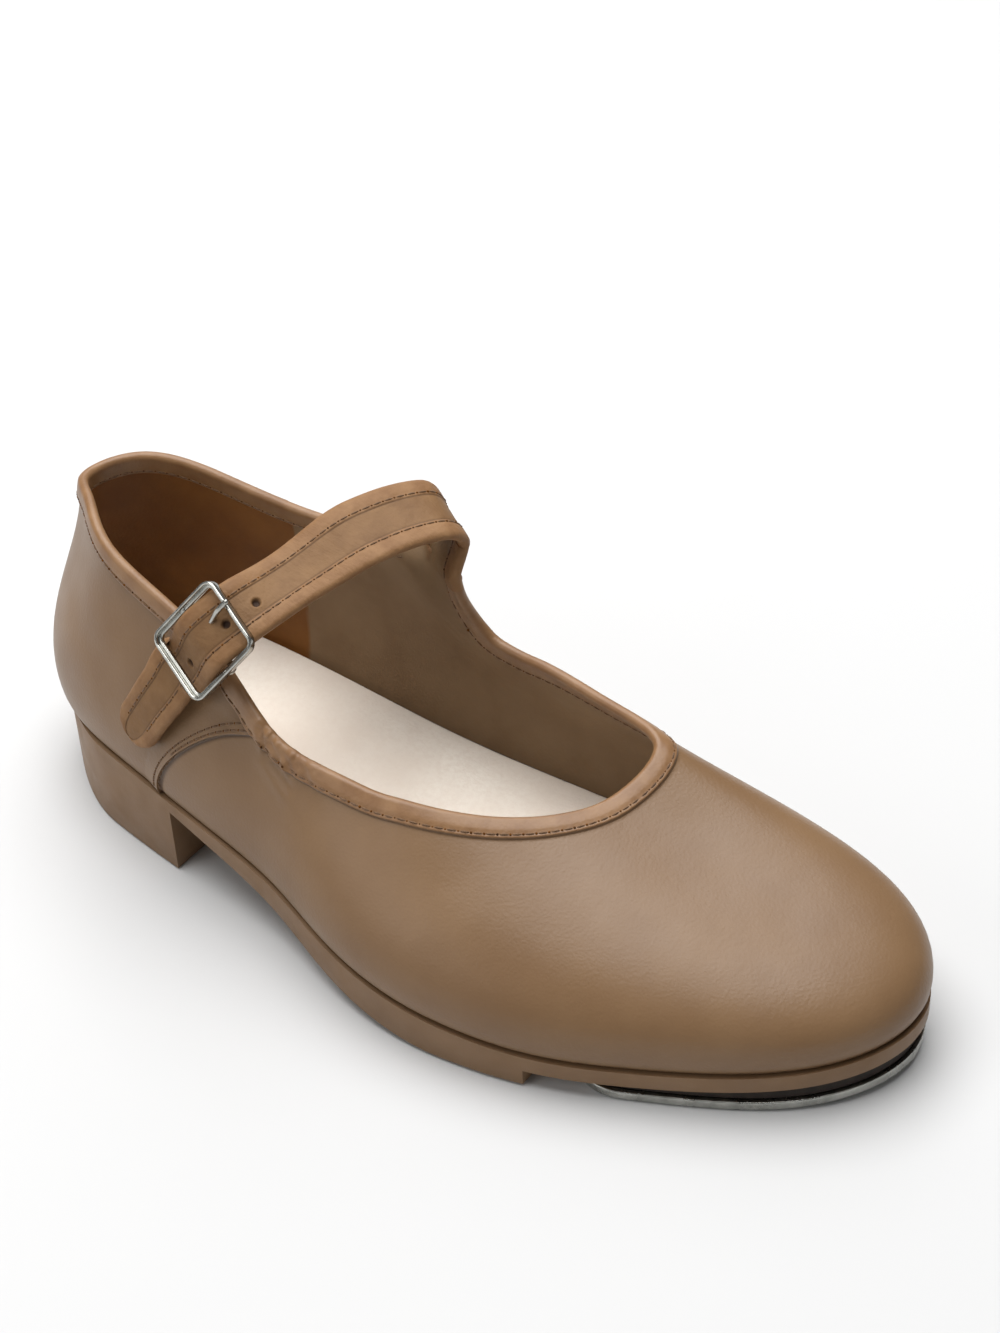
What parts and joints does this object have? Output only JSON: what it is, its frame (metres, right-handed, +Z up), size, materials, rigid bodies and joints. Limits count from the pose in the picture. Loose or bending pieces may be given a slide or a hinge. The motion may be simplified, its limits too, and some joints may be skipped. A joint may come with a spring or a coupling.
{
  "type": "tap shoe",
  "caption": "Right tap shoe in smooth tan leather: hollow upper with a buckled strap over the open instep, moulded sole with a low block heel, and metal taps under toe and heel.",
  "frame": {"origin": "on the floor, under the middle of the shoe's bounding box", "axes": "+Z up, the toe towards -Y and the heel towards +Y, the inner side of the foot towards +X"},
  "size_m": [0.0894, 0.2406, 0.0919],
  "materials": {
    "upper_leather": "smooth, satin",
    "strap_leather": "smooth, satin",
    "sole_moulding": "moulded, semi-matt",
    "insole_cloth": "matt",
    "tap_metal": "polished",
    "board": "matt",
    "buckle_metal": "polished"
  },
  "bodies": {
    "root": {"upper": "upper_leather", "unit_sole": "sole_moulding", "insole": "insole_cloth", "strap": "strap_leather", "toe_tap": "tap_metal", "toe_tap_board": "board", "heel_tap": "tap_metal", "buckle_frame": "buckle_metal", "buckle_tab": "strap_leather", "buckle_prong": "buckle_metal"}
  },
  "joints": []
}
